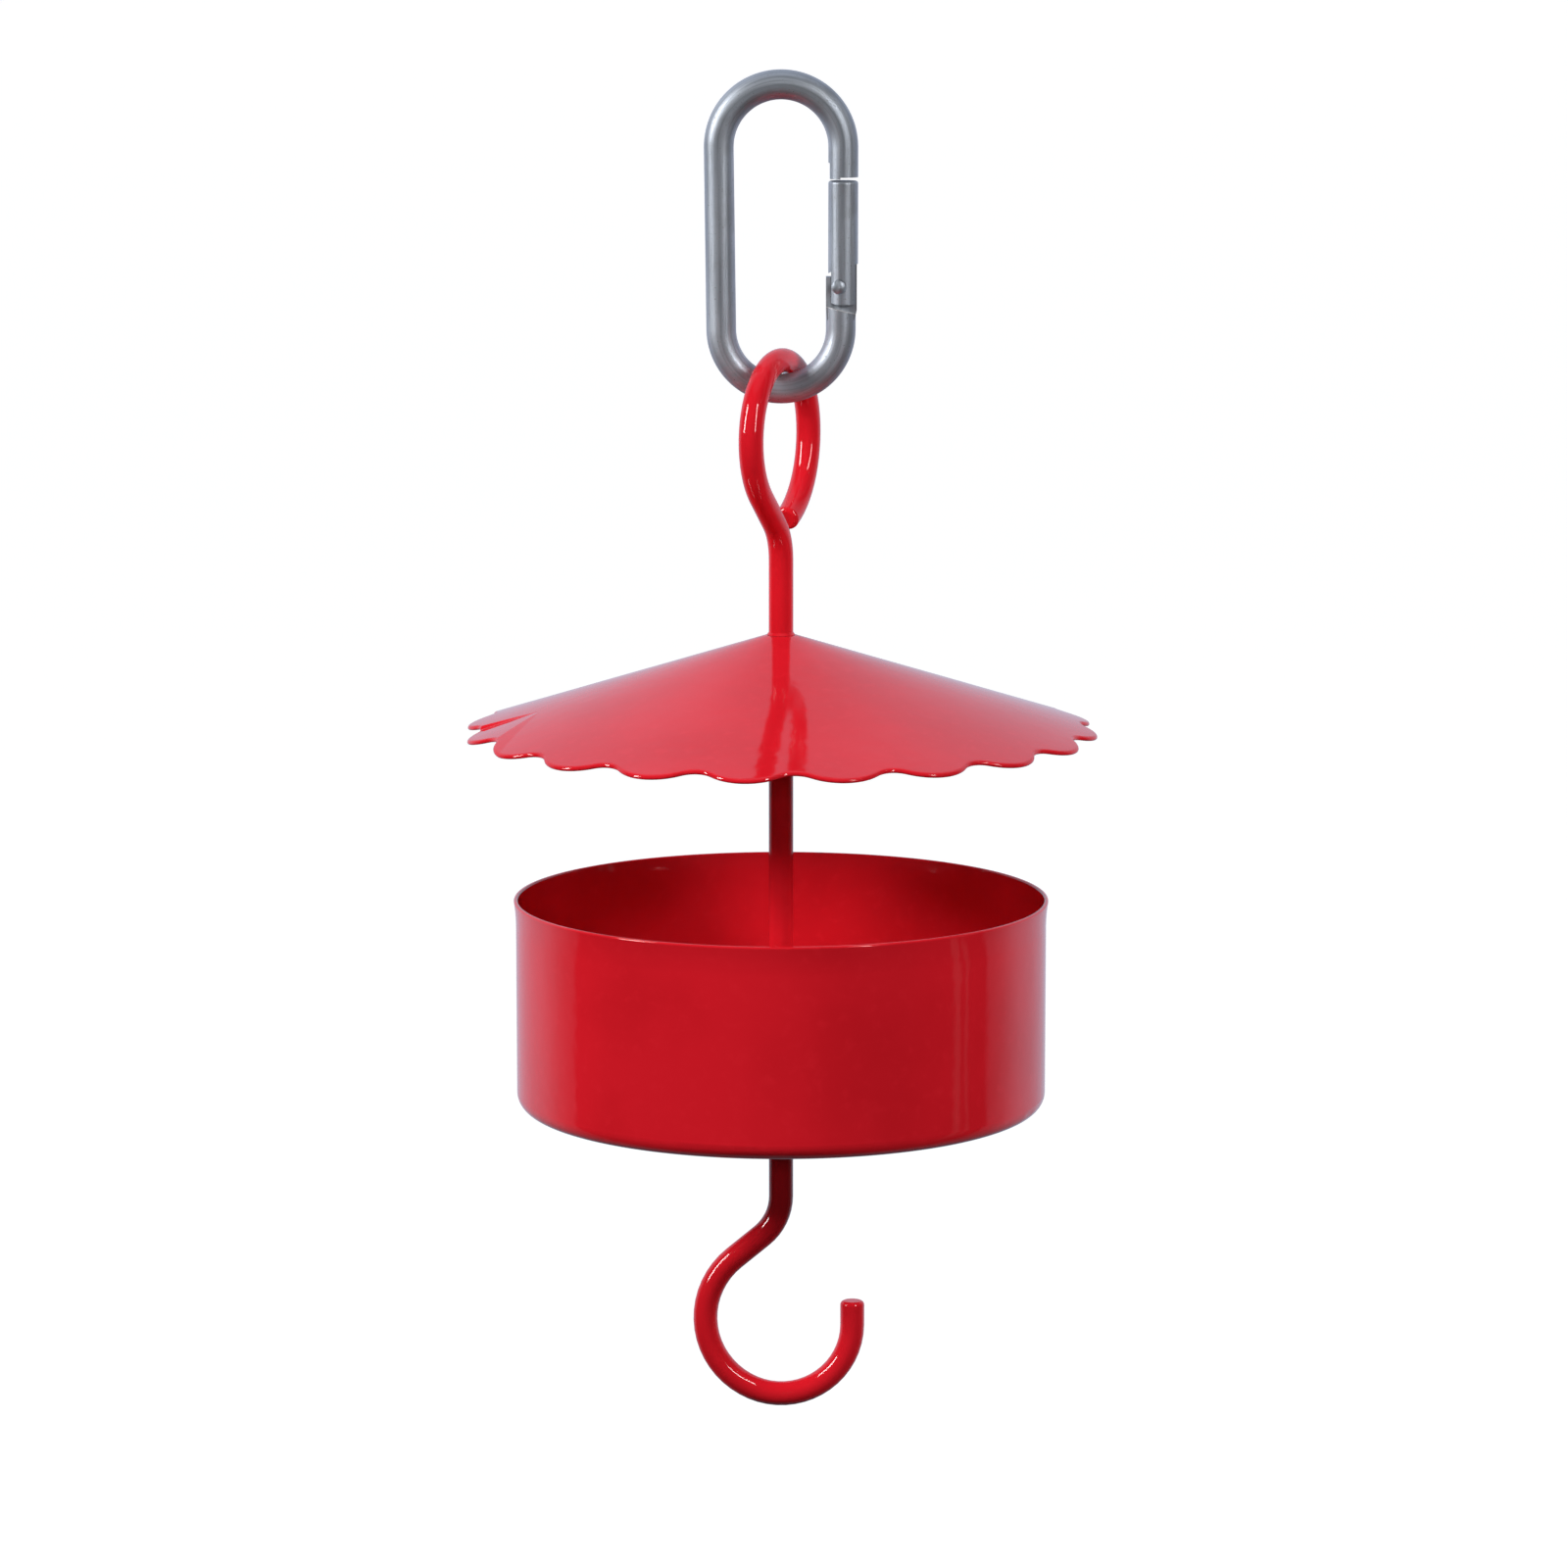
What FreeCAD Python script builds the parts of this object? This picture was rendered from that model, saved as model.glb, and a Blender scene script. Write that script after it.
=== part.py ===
import FreeCAD, Part
import os
import re
import Sketcher

# A hanging ant moat with a rain cover, millimetres, +Z up.
# The origin is the hang point: the underside of the snap hook's top bend, where it sits on a
# branch hook or bracket. The snap hook lies in the XZ plane with its gate on +X. The red rod
# hangs in its foot bend by an eye, carries the cover and the water cup, and ends in a hook.

doc = FreeCAD.newDocument("ant_moat")

SIZES = [
    # alias, value, what it sets
    ("link_wire_d", 6.0, "snap hook wire"),
    ("link_length", 67.1, "snap hook, outside top to outside bottom"),
    ("link_top_bend_r", 12.5, "top bend, to the wire's centre line"),
    ("link_foot_bend_r", 12.05, "foot bend, to the wire's centre line"),
    ("nose_drop", 15.5, "hang point down to the nose's outer half"),
    ("nose_step", 0.35, "how much lower the nose's inner half ends"),
    ("nose_half_w", 0.6, "step in the nose, inward from the wire's centre line"),
    ("nose_flat", 0.3, "flat pressed on the nose's inner side"),
    ("nose_flat_h", 3.2, "height of that flat"),
    ("gate_d", 6.0, "gate bar"),
    ("gate_gap", 0.75, "nose's outer half to the gate's top"),
    ("gate_round", 0.5, "rounding on the gate's top edge"),
    ("gate_end_r", 3.6, "gate's lower end, round the pivot"),
    ("gate_end_fillet", 1.2, "gate's lower outer corner"),
    ("pivot_drop", 37.4, "hang point down to the rivet"),
    ("pivot_inset", 0.9, "rivet, inward from the gate's centre line"),
    ("slot_rise", 4.5, "rivet up to the roof of the gate's slot, outer part"),
    ("slot_arc_r", 3.35, "inner part of that roof, an arc round the rivet"),
    ("slot_step_x", 0.45, "rivet out to the step between the two parts"),
    ("tang_t", 3.3, "flattened tang, thickness"),
    ("slot_clear", 0.15, "gap each side of the tang in the slot"),
    ("tang_root", 2.0, "height over which the wire goes over into the tang"),
    ("tang_ledge", 1.9, "rivet up to the tang's inner ledge"),
    ("tang_horn_x", 0.9, "rivet out to the tang's stop horn"),
    ("tang_inset", 0.25, "horn's outer face, in from the gate's surface"),
    ("stop_clear", 0.06, "horn's top to the slot's roof, gate shut"),
    ("shoulder_drop", 4.7, "rivet down to the shoulder under the gate"),
    ("shoulder_slope", 14.0, "slope of the shoulder, degrees"),
    ("rivet_d", 1.8, "rivet shank"),
    ("rivet_clear", 0.04, "radial fit of the shank in the tang"),
    ("rivet_head_d", 2.8, "rivet head"),
    ("rivet_head_h", 0.6, "rivet head's height on its seat"),
    ("rivet_rim_h", 0.18, "upright rim of the head, under its dome"),
    ("rivet_seat_clear", 0.12, "radial room round the head in its seat"),
    ("rivet_seat", 0.45, "depth of the seat in the gate's side"),
    ("pin_d", 1.8, "push pin in the gate"),
    ("pin_length", 3.9, "push pin, tip to tail"),
    ("pin_clear", 0.1, "radial fit of the pin in its bore"),
    ("pin_inset", 0.45, "pin's axis, inward from the rivet"),
    ("pin_rest_gap", 0.03, "pin's tip above the tang's ledge"),
    ("pin_bore_h", 6.4, "bore above the slot's outer roof"),
    ("spring_wire_d", 0.28, "push spring wire"),
    ("spring_d", 1.66, "push spring, outside"),
    ("spring_turns", 6.0, "push spring turns"),
    ("rod_d", 5.0, "coated rod"),
    ("rod_tip_round", 0.9, "rounding of the rod's two ends"),
    ("saddle_clear", 0.2, "eye above the snap hook's foot bend"),
    ("eye_r", 15.2, "eye, to the rod's centre line"),
    ("eye_turn", 67.6, "eye's plane, turned from the snap hook's, degrees"),
    ("eye_close_r", 17.8, "last stretch of the eye"),
    ("eye_close_from", 79.0, "where that stretch begins, degrees past the top"),
    ("eye_close_angle", 82.5, "angle of that stretch, degrees"),
    ("eye_neck_r", 10.3, "bend where the rod leaves its own line under the eye"),
    ("eye_reach", 15.75, "rod's line out to the eye's side, centre to centre"),
    ("eye_neck_angle", 48.9, "slant of the rod under the eye, degrees"),
    ("neck_to_cover", 14.33, "end of the eye's neck down to the cone's point"),
    ("cover_tip_r", 64.5, "cover, to the scallops' tips"),
    ("cover_valley_r", 61.2, "cover, to the valleys between them"),
    ("cover_valley_arc_r", 5.6, "rounding of a valley"),
    ("cover_slope", 17.65, "slope of the cone, degrees"),
    ("cover_sheet", 0.9, "cover's sheet, coated"),
    ("scallops", 20, "scallops round the cover"),
    ("cover_turn", 2.5, "a valley's place, turned from the gate's side, degrees"),
    ("cover_to_cup", 55.25, "cone's point down to the cup's rim"),
    ("cup_r", 54.25, "cup's wall, outside"),
    ("cup_depth", 43.2, "cup, rim to underside"),
    ("cup_sheet", 0.9, "cup's sheet, coated"),
    ("cup_corner_r", 3.2, "corner between wall and floor, outside"),
    ("lip_flare", 0.5, "how far the lip flares out"),
    ("lip_blend", 5.5, "height over which the wall flares"),
    ("lip_round", 0.35, "rounding of the rim's edges"),
    ("cup_to_hook", 19.4, "cup's underside down to the hook's neck"),
    ("hook_r", 14.7, "hook's round, to the rod's centre line"),
    ("hook_back_r", 16.35, "hook's wider bend, down its back"),
    ("hook_back_past", 66.5, "how far that bend runs past upright, degrees"),
    ("hook_neck_r", 10.9, "bend where the rod leaves its own line over the hook"),
    ("hook_reach", 15.65, "rod's line out to the hook's back, centre to centre"),
    ("hook_neck_angle", 50.5, "slant of the rod over the hook, degrees"),
    ("hook_tip_run", 5.1, "straight upright end of the hook"),
    ("top_weld", 0.4, "bead on the cover round the rod"),
    ("cover_weld", 2.2, "bead under the cover round the rod"),
    ("floor_weld", 2.4, "bead on the cup's floor round the rod"),
    ("under_weld", 1.9, "bead under the cup round the rod"),
]

sheet = doc.addObject("Spreadsheet::Sheet", "Sizes")
for row, (alias, size, note) in enumerate(SIZES, start=1):
    sheet.set(f"A{row}", note)
    sheet.set(f"B{row}", str(size))
    sheet.setAlias(f"B{row}", alias)
doc.recompute()

ALIASES = re.compile(r"\b(" + "|".join(alias for alias, _, _ in SIZES) + r")\b")


def ref(text):
    """Turns the names of sizes in a formula into references to the sheet."""
    return ALIASES.sub(r"Sizes.\1", text)


def num(text):
    """The value that a formula has now."""
    return float(sheet.evalExpression(ref(text)))


# how far a cutting outline runs past what it cuts
PAST = "1"

# ---- places that several pieces share, as formulas of the sizes ----

LINK_TOP_Z = "(link_wire_d / 2 - link_top_bend_r)"
LINK_FOOT_Z = "(link_wire_d * 1.5 - link_length + link_foot_bend_r)"
GATE_X = "link_top_bend_r"
PIVOT_X = "(link_top_bend_r - pivot_inset)"
GATE_TOP_Z = "(-nose_drop - gate_gap)"
GATE_TOP_UP = f"({GATE_TOP_Z} + pivot_drop)"
SLOT_W = "(tang_t + 2 * slot_clear)"
PIN_REST_Z = "(tang_ledge + pin_rest_gap)"
PIN_BORE_D = "(pin_d + 2 * pin_clear)"
BORE_END_Z = "(slot_rise + pin_bore_h)"
PIN_TAIL_Z = f"({PIN_REST_Z} + pin_length)"
RIVET_SEAT_Y = "(gate_d / 2 - rivet_seat)"

EYE_Z = "(2 * link_wire_d - link_length + saddle_clear + rod_d / 2 - eye_r)"


def neck_run(end, back_r):
    """Slanted run of a neck, so that the bend after it reaches as far out as it should."""
    bends = f"({end}_neck_r + {back_r}) * (1 - cos({end}_neck_angle))"
    return f"(({end}_reach - {bends}) / sin({end}_neck_angle))"


def neck_height(end, back_r):
    """Height from the start of a neck to the furthest point of the bend after it."""
    bends = f"({end}_neck_r + {back_r}) * sin({end}_neck_angle)"
    return f"({bends} + {neck_run(end, back_r)} * cos({end}_neck_angle))"


EYE_NECK_Z = f"({EYE_Z} - {neck_height('eye', 'eye_r')})"
COVER_Z = f"({EYE_NECK_Z} - neck_to_cover)"
CUP_Z = f"({COVER_Z} - cover_to_cup)"
CUP_BASE_Z = f"({CUP_Z} - cup_depth)"
HOOK_NECK_Z = f"({CUP_BASE_Z} - cup_to_hook)"


# ---- how bodies, sketches and features are made ----

def new_body(label, base=("0", "0", "0")):
    """A body of its own for one piece, placed by three formulas."""
    body = doc.addObject("PartDesign::Body", label)
    body.Label = label
    for axis, text in zip("xyz", base):
        body.setExpression(f"Placement.Base.{axis}", ref(text))
    return body


def origin_plane(body, role):
    """The body's own XY, XZ or YZ plane."""
    return next(f for f in body.Origin.OriginFeatures if f.Role == f"{role}_Plane")


def new_sketch(body, name, role, lift="0", turn=None):
    """A sketch on an origin plane, lifted along its normal and turned about its upright."""
    sketch = body.newObject("Sketcher::SketchObject", name)
    sketch.AttachmentSupport = [(origin_plane(body, role), "")]
    sketch.MapMode = "FlatFace"
    sketch.setExpression("AttachmentOffset.Base.z", ref(lift))
    if turn:
        upright = FreeCAD.Vector(0, 1, 0)
        sketch.AttachmentOffset = FreeCAD.Placement(
            FreeCAD.Vector(), FreeCAD.Rotation(upright, num(turn)))
        sketch.setExpression("AttachmentOffset.Rotation.Angle", ref(turn))
    return sketch


def bind(sketch, kind, where, text, unit=""):
    """A dimension whose value is a formula of the sizes."""
    scale = FreeCAD.Units.Quantity("1 deg").getValueAs("rad").Value if unit else 1.0
    index = sketch.addConstraint(Sketcher.Constraint(kind, *where, num(text) * scale))
    name = f"size_{index}"
    sketch.renameConstraint(index, name)
    sketch.setExpression(f"Constraints.{name}", f"({ref(text)}){unit}")


def pin_point(sketch, geometry, end, x, y):
    """Holds one point of a sketch at two formulas."""
    bind(sketch, "DistanceX", (-1, 1, geometry, end), x)
    bind(sketch, "DistanceY", (-1, 1, geometry, end), y)


def circle(body, name, role, x, y, diameter, lift="0"):
    """A sketch with one round hole or bar."""
    sketch = new_sketch(body, name, role, lift)
    centre = FreeCAD.Vector(num(x), num(y), 0)
    up = FreeCAD.Vector(0, 0, 1)
    sketch.addGeometry(Part.Circle(centre, up, num(diameter) / 2), False)
    pin_point(sketch, 0, 3, x, y)
    bind(sketch, "Diameter", (0,), diameter)
    return sketch


def arc_between(start, end, radius):
    """The short arc from start to end; a positive radius curves left, a negative one right."""
    chord = end - start
    reach = (radius ** 2 - (chord.Length / 2) ** 2) ** 0.5
    left = FreeCAD.Vector(-chord.y, chord.x, 0).normalize()
    side = 1 if radius > 0 else -1
    centre = (start + end) * 0.5 + left * reach * side
    middle = centre + ((start + end) * 0.5 - centre).normalize() * abs(radius)
    return Part.Arc(start, middle, end)


def outline(body, name, role, corners, lift="0"):
    """A closed outline. A corner is (x, y), or (x, y, radius) where an arc leaves it."""
    sketch = new_sketch(body, name, role, lift)
    points = [FreeCAD.Vector(num(c[0]), num(c[1]), 0) for c in corners]
    ends = []
    for i, corner in enumerate(corners):
        start, end = points[i], points[(i + 1) % len(points)]
        if len(corner) == 3:
            sketch.addGeometry(arc_between(start, end, num(corner[2])), False)
            ends.append((1, 2) if num(corner[2]) > 0 else (2, 1))
        else:
            sketch.addGeometry(Part.LineSegment(start, end), False)
            ends.append((1, 2))
    for i in range(len(corners)):
        after = (i + 1) % len(corners)
        sketch.addConstraint(Sketcher.Constraint("Coincident", i, ends[i][1], after, ends[after][0]))
    for i, corner in enumerate(corners):
        pin_point(sketch, i, ends[i][0], corner[0], corner[1])
        if len(corner) == 3:
            bind(sketch, "Radius", (i,), f"abs({corner[2]})")
    return sketch


def path(body, name, role, start, heading, steps, turn=None):
    """An open line of straight runs and tangent bends.

    heading is 90 for up and -90 for down. A step is ("run", length) or
    ("bend", radius, angle, side), where side is 1 for left and -1 for right.
    """
    sketch = new_sketch(body, name, role, turn=turn)
    at = FreeCAD.Vector(num(start[0]), num(start[1]), 0)
    z_axis = FreeCAD.Vector(0, 0, 1)
    ahead = FreeCAD.Rotation(z_axis, heading).multVec(FreeCAD.Vector(1, 0, 0))
    leaving = None
    for i, step in enumerate(steps):
        if step[0] == "run":
            end = at + ahead * num(step[1])
            sketch.addGeometry(Part.LineSegment(at, end), False)
            first, last = 1, 2
        else:
            _, radius, angle, side = step
            centre = at + FreeCAD.Rotation(z_axis, 90 * side).multVec(ahead) * num(radius)
            half = FreeCAD.Rotation(z_axis, side * num(angle) / 2)
            whole = FreeCAD.Rotation(z_axis, side * num(angle))
            middle = centre + half.multVec(at - centre)
            end = centre + whole.multVec(at - centre)
            sketch.addGeometry(Part.Arc(at, middle, end), False)
            first, last = (1, 2) if side > 0 else (2, 1)
            ahead = whole.multVec(ahead)
        if leaving is None:
            pin_point(sketch, i, first, *start)
            sketch.addConstraint(Sketcher.Constraint("Vertical", i))
        else:
            sketch.addConstraint(Sketcher.Constraint("Tangent", i - 1, leaving, i, first))
        if step[0] == "run":
            bind(sketch, "Distance", (i,), step[1])
        else:
            bind(sketch, "Radius", (i,), radius)
            bind(sketch, "Angle", (i,), angle, " * 1 deg")
        leaving = last
        at = end
    return sketch


def feature(body, kind, name, profile=None, **settings):
    """A feature of the body, with its settings, and formulas where they are text."""
    made = body.newObject(f"PartDesign::{kind}", name)
    if profile:
        made.Profile = profile
    for key, setting in settings.items():
        if isinstance(setting, str) and key in ("Length", "Radius", "Angle", "Size"):
            made.setExpression(key, ref(setting))
        else:
            setattr(made, key, setting)
    doc.recompute()
    return made


def pad(body, name, profile, length, **settings):
    return feature(body, "Pad", name, profile, Length=length, **settings)


def cut(body, name, profile, length=None, **settings):
    """A pocket. It stops the build if it takes nothing away."""
    before = body.Shape.Volume
    if length is None:
        made = feature(body, "Pocket", name, profile, Type="ThroughAll", Midplane=True, **settings)
    else:
        made = feature(body, "Pocket", name, profile, Length=length, **settings)
    if body.Shape.Volume >= before:
        raise RuntimeError(f"{body.Label}: {name} cuts nothing")
    return made


def spin(body, name, profile, axis="V_Axis"):
    return feature(body, "Revolution", name, profile, ReferenceAxis=(profile, [axis]), Angle=360.0)


def pipe(body, name, profile, spine):
    made = body.newObject("PartDesign::AdditivePipe", name)
    made.Profile = profile
    made.Spine = spine
    doc.recompute()
    return made


def round_edges(body, name, radius, wanted):
    """A fillet on the edges of the body's last feature that wanted(edge) picks."""
    last = body.Tip
    names = [f"Edge{i}" for i, e in enumerate(last.Shape.Edges, start=1) if wanted(e)]
    if not names:
        raise RuntimeError(f"{body.Label}: {name} finds no edge")
    return feature(body, "Fillet", name, Base=(last, names), Radius=radius)


def ring_at(z, radius=None, tolerance=1e-4):
    """Picks whole circles at a height, and of a radius if one is given."""
    def wanted(edge):
        if not isinstance(edge.Curve, Part.Circle):
            return False
        level = abs(edge.Curve.Center.z - z) < tolerance and abs(edge.Curve.Axis.z) > 0.999
        return level and (radius is None or abs(edge.Curve.Radius - radius) < tolerance)
    return wanted


# ---- the snap hook ----

def carabiner_body():
    """One bent wire: nose, top bend, back, foot bend and the flattened tang of the pivot."""
    body = new_body("carabiner_body")
    straight = "(link_length - link_wire_d - link_top_bend_r - link_foot_bend_r)"
    back_lean = f"(asin((link_top_bend_r - link_foot_bend_r) / {straight}) / 1 deg)"
    back_run = f"({straight} * cos({back_lean}))"
    shoulder_z = "(-pivot_drop - shoulder_drop)"
    spine = path(body, "link_line", "XZ", (GATE_X, "-nose_drop - nose_step"), 90, [
        ("run", f"({LINK_TOP_Z} + nose_drop + nose_step)"),
        ("bend", "link_top_bend_r", f"180 + {back_lean}", 1),
        ("run", back_run),
        ("bend", "link_foot_bend_r", f"180 - {back_lean}", 1),
        ("run", f"({shoulder_z} + link_wire_d - {LINK_FOOT_Z})"),
    ])
    section = circle(body, "link_section", "XY", GATE_X, "0", "link_wire_d",
                     lift="-nose_drop - nose_step")
    pipe(body, "link_wire", section, spine)

    step_x = f"({GATE_X} - nose_half_w)"
    out_x = f"({GATE_X} + link_wire_d)"
    nose_z = "-nose_drop - nose_step"
    cut(body, "nose_notch", outline(body, "nose_notch_line", "XZ", [
        (step_x, f"{nose_z} - {PAST}"), (out_x, f"{nose_z} - {PAST}"),
        (out_x, "-nose_drop"), (step_x, "-nose_drop"),
    ]))
    inner_x = f"({GATE_X} - link_wire_d / 2)"
    cut(body, "nose_flat", outline(body, "nose_flat_line", "XZ", [
        (f"{inner_x} - {PAST}", f"{nose_z} - {PAST}"),
        (f"{inner_x} + nose_flat", f"{nose_z} - {PAST}"),
        (f"{inner_x} + nose_flat", f"{nose_z} + nose_flat_h"),
        (f"{inner_x} - {PAST}", f"{nose_z} + nose_flat_h"),
    ]))

    # everything over the sloping shoulder comes off, from the loop to clear outside it
    left_x = f"({PIVOT_X} - link_wire_d)"
    right_x = f"({PIVOT_X} + link_wire_d)"
    over_z = "(-pivot_drop)"
    cut(body, "shoulder", outline(body, "shoulder_line", "XZ", [
        (left_x, f"{shoulder_z} + link_wire_d * tan(shoulder_slope)"),
        (right_x, f"{shoulder_z} - link_wire_d * tan(shoulder_slope)"),
        (right_x, f"{over_z} + link_wire_d"), (left_x, f"{over_z} + link_wire_d"),
    ]))

    tang_in_x = "(link_foot_bend_r - link_wire_d / 2)"
    tang_out_x = f"({GATE_X} + gate_d / 2 - tang_inset)"
    foot_out_x = "(link_foot_bend_r + link_wire_d / 2 - tang_inset)"
    ledge_z = "(-pivot_drop + tang_ledge)"
    horn_z = "(-pivot_drop + slot_rise - stop_clear)"
    root_z = f"({shoulder_z} - tang_root)"
    horn_x = f"({PIVOT_X} + tang_horn_x)"
    pad(body, "tang", outline(body, "tang_line", "XZ", [
        (f"{tang_in_x} + tang_inset", root_z), (foot_out_x, root_z),
        (tang_out_x, shoulder_z), (tang_out_x, horn_z), (horn_x, horn_z),
        (horn_x, ledge_z), (tang_in_x, ledge_z), (tang_in_x, shoulder_z),
    ]), "tang_t", Midplane=True)
    cut(body, "rivet_hole", circle(body, "rivet_hole_line", "XZ", PIVOT_X, "-pivot_drop",
                                   "rivet_d + 2 * rivet_clear"))
    return body


def carabiner_gate():
    """Solid bar, slotted below to straddle the tang, and bored above the slot for the pin."""
    body = new_body("carabiner_gate", (PIVOT_X, "0", "-pivot_drop"))
    bar = circle(body, "bar_line", "XY", "pivot_inset", "0", "gate_d", lift=GATE_TOP_UP)
    pad(body, "bar", bar, f"{GATE_TOP_UP} + gate_end_r", Reversed=True)
    round_edges(body, "top_round", "gate_round", ring_at(num(GATE_TOP_UP)))

    low = f"(-gate_end_r - {PAST})"
    side = "(pivot_inset + gate_d)"
    # inner half of the lower end, cut to an arc round the pivot
    cut(body, "end_round", outline(body, "end_round_line", "XZ", [
        ("0", "-gate_end_r", "-gate_end_r"), ("-gate_end_r", "0"),
        ("-gate_d", "0"), ("-gate_d", low), ("0", low),
    ]))
    corner_x = "(pivot_inset + gate_d / 2)"
    cut(body, "end_corner", outline(body, "end_corner_line", "XZ", [
        (f"{corner_x} - gate_end_fillet", "-gate_end_r", "gate_end_fillet"),
        (corner_x, "-gate_end_r + gate_end_fillet"),
        (side, "-gate_end_r + gate_end_fillet"), (side, low),
        (f"{corner_x} - gate_end_fillet", low),
    ]))
    # the roof of the slot is high over the tang's horn and low over its ledge
    step_z = "(sqrt(slot_arc_r ^ 2 - slot_step_x ^ 2))"
    cut(body, "slot", outline(body, "slot_line", "XZ", [
        (side, low), (side, "slot_rise"), ("slot_step_x", "slot_rise"),
        ("slot_step_x", step_z, "slot_arc_r"), ("-slot_arc_r", "0"), ("-slot_arc_r", low),
    ]), SLOT_W, Midplane=True)
    cut(body, "pin_bore", circle(body, "pin_bore_line", "XY", "-pin_inset", "0", PIN_BORE_D),
        BORE_END_Z, Reversed=True)
    cut(body, "rivet_hole", circle(body, "rivet_hole_line", "XZ", "0", "0", "rivet_d"))
    seat_d = "rivet_head_d + 2 * rivet_seat_clear"
    near = circle(body, "near_seat_line", "XZ", "0", "0", seat_d, lift=RIVET_SEAT_Y)
    cut(body, "near_seat", near, "gate_d", Reversed=True)
    far = circle(body, "far_seat_line", "XZ", "0", "0", seat_d, lift=f"-{RIVET_SEAT_Y}")
    cut(body, "far_seat", far, "gate_d")
    return body


def gate_rivet():
    """Shank through the gate's cheeks and the tang, with a domed head at each end."""
    body = new_body("gate_rivet", (PIVOT_X, "0", "-pivot_drop"))
    top = f"({RIVET_SEAT_Y} + rivet_head_h)"
    edge = f"({RIVET_SEAT_Y} + rivet_rim_h)"
    dome_h = "(rivet_head_h - rivet_rim_h)"
    dome = f"(((rivet_head_d / 2) ^ 2 + {dome_h} ^ 2) / (2 * {dome_h}))"
    spin(body, "rivet", outline(body, "rivet_line", "YZ", [
        (f"-{top}", "0"), (top, "0", dome), (edge, "rivet_head_d / 2"),
        (RIVET_SEAT_Y, "rivet_head_d / 2"), (RIVET_SEAT_Y, "rivet_d / 2"),
        (f"-{RIVET_SEAT_Y}", "rivet_d / 2"), (f"-{RIVET_SEAT_Y}", "rivet_head_d / 2"),
        (f"-{edge}", "rivet_head_d / 2", dome),
    ]), axis="H_Axis")
    return body


def gate_pin():
    """Push pin in the gate: its round tip bears on the tang's ledge and shuts the gate."""
    body = new_body("gate_pin", (f"{PIVOT_X} - pin_inset", "0", "-pivot_drop"))
    spin(body, "pin", outline(body, "pin_line", "XZ", [
        ("0", PIN_REST_Z, "pin_d / 2"), ("pin_d / 2", f"{PIN_REST_Z} + pin_d / 2"),
        ("pin_d / 2", PIN_TAIL_Z), ("0", PIN_TAIL_Z),
    ]))
    return body


def gate_spring():
    """Open coil between the pin's tail and the end of its bore."""
    rise = f"({BORE_END_Z} - {PIN_TAIL_Z} - spring_wire_d)"
    mean_r = "((spring_d - spring_wire_d) / 2)"
    helix = doc.addObject("Part::Helix", "spring_line")
    helix.setExpression("Height", ref(rise))
    helix.setExpression("Pitch", ref(f"{rise} / spring_turns"))
    helix.setExpression("Radius", ref(mean_r))
    section = doc.addObject("Part::Circle", "spring_section")
    section.setExpression("Radius", ref("spring_wire_d / 2"))
    section.Placement.Rotation = FreeCAD.Rotation(FreeCAD.Vector(1, 0, 0), 90)
    section.setExpression("Placement.Base.x", ref(mean_r))
    doc.recompute()
    spring = doc.addObject("Part::Sweep", "gate_spring")
    spring.Label = "gate_spring"
    spring.Sections = [section]
    spring.Spine = (helix, [f"Edge{i}" for i in range(1, len(helix.Shape.Edges) + 1)])
    spring.Solid = True
    spring.Frenet = True
    spring.setExpression("Placement.Base.x", ref(f"{PIVOT_X} - pin_inset"))
    spring.setExpression("Placement.Base.z",
                         ref(f"-pivot_drop + {PIN_TAIL_Z} + spring_wire_d / 2"))
    return spring


# ---- the red rod and what it carries ----

def hanger_rod():
    """One bent rod: a nearly closed eye, a straight stem and a hook for the feeder."""
    body = new_body("hanger_rod")
    stem = circle(body, "stem_line", "XY", "0", "0", "rod_d", lift=EYE_NECK_Z)
    pad(body, "stem", stem, f"{EYE_NECK_Z} - {HOOK_NECK_Z}", Reversed=True)

    overlap = "(rod_d / 2)"
    eye_line = path(body, "eye_line", "XZ", ("0", f"{EYE_NECK_Z} - {overlap}"), 90, [
        ("run", overlap),
        ("bend", "eye_neck_r", "eye_neck_angle", 1),
        ("run", neck_run("eye", "eye_r")),
        ("bend", "eye_r", "90 + eye_neck_angle + eye_close_from", -1),
        ("bend", "eye_close_r", "eye_close_angle", -1),
    ], turn="eye_turn")
    pipe(body, "eye", circle(body, "eye_section", "XY", "0", "0", "rod_d",
                             lift=f"{EYE_NECK_Z} - {overlap}"), eye_line)

    hook_line = path(body, "hook_line", "XZ", ("0", f"{HOOK_NECK_Z} + {overlap}"), -90, [
        ("run", overlap),
        ("bend", "hook_neck_r", "hook_neck_angle", -1),
        ("run", neck_run("hook", "hook_back_r")),
        ("bend", "hook_back_r", "hook_neck_angle + hook_back_past", 1),
        ("bend", "hook_r", "180 - hook_back_past", 1),
        ("run", "hook_tip_run"),
    ])
    pipe(body, "hook", circle(body, "hook_section", "XY", "0", "0", "rod_d",
                              lift=f"{HOOK_NECK_Z} + {overlap}"), hook_line)

    def on_flat_end(edge):
        flat = [f for f in body.Tip.Shape.Faces if isinstance(f.Surface, Part.Plane)]
        return any(edge.isSame(e) for f in flat for e in f.Edges)

    round_edges(body, "tips", "rod_tip_round", on_flat_end)
    return body


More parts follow.
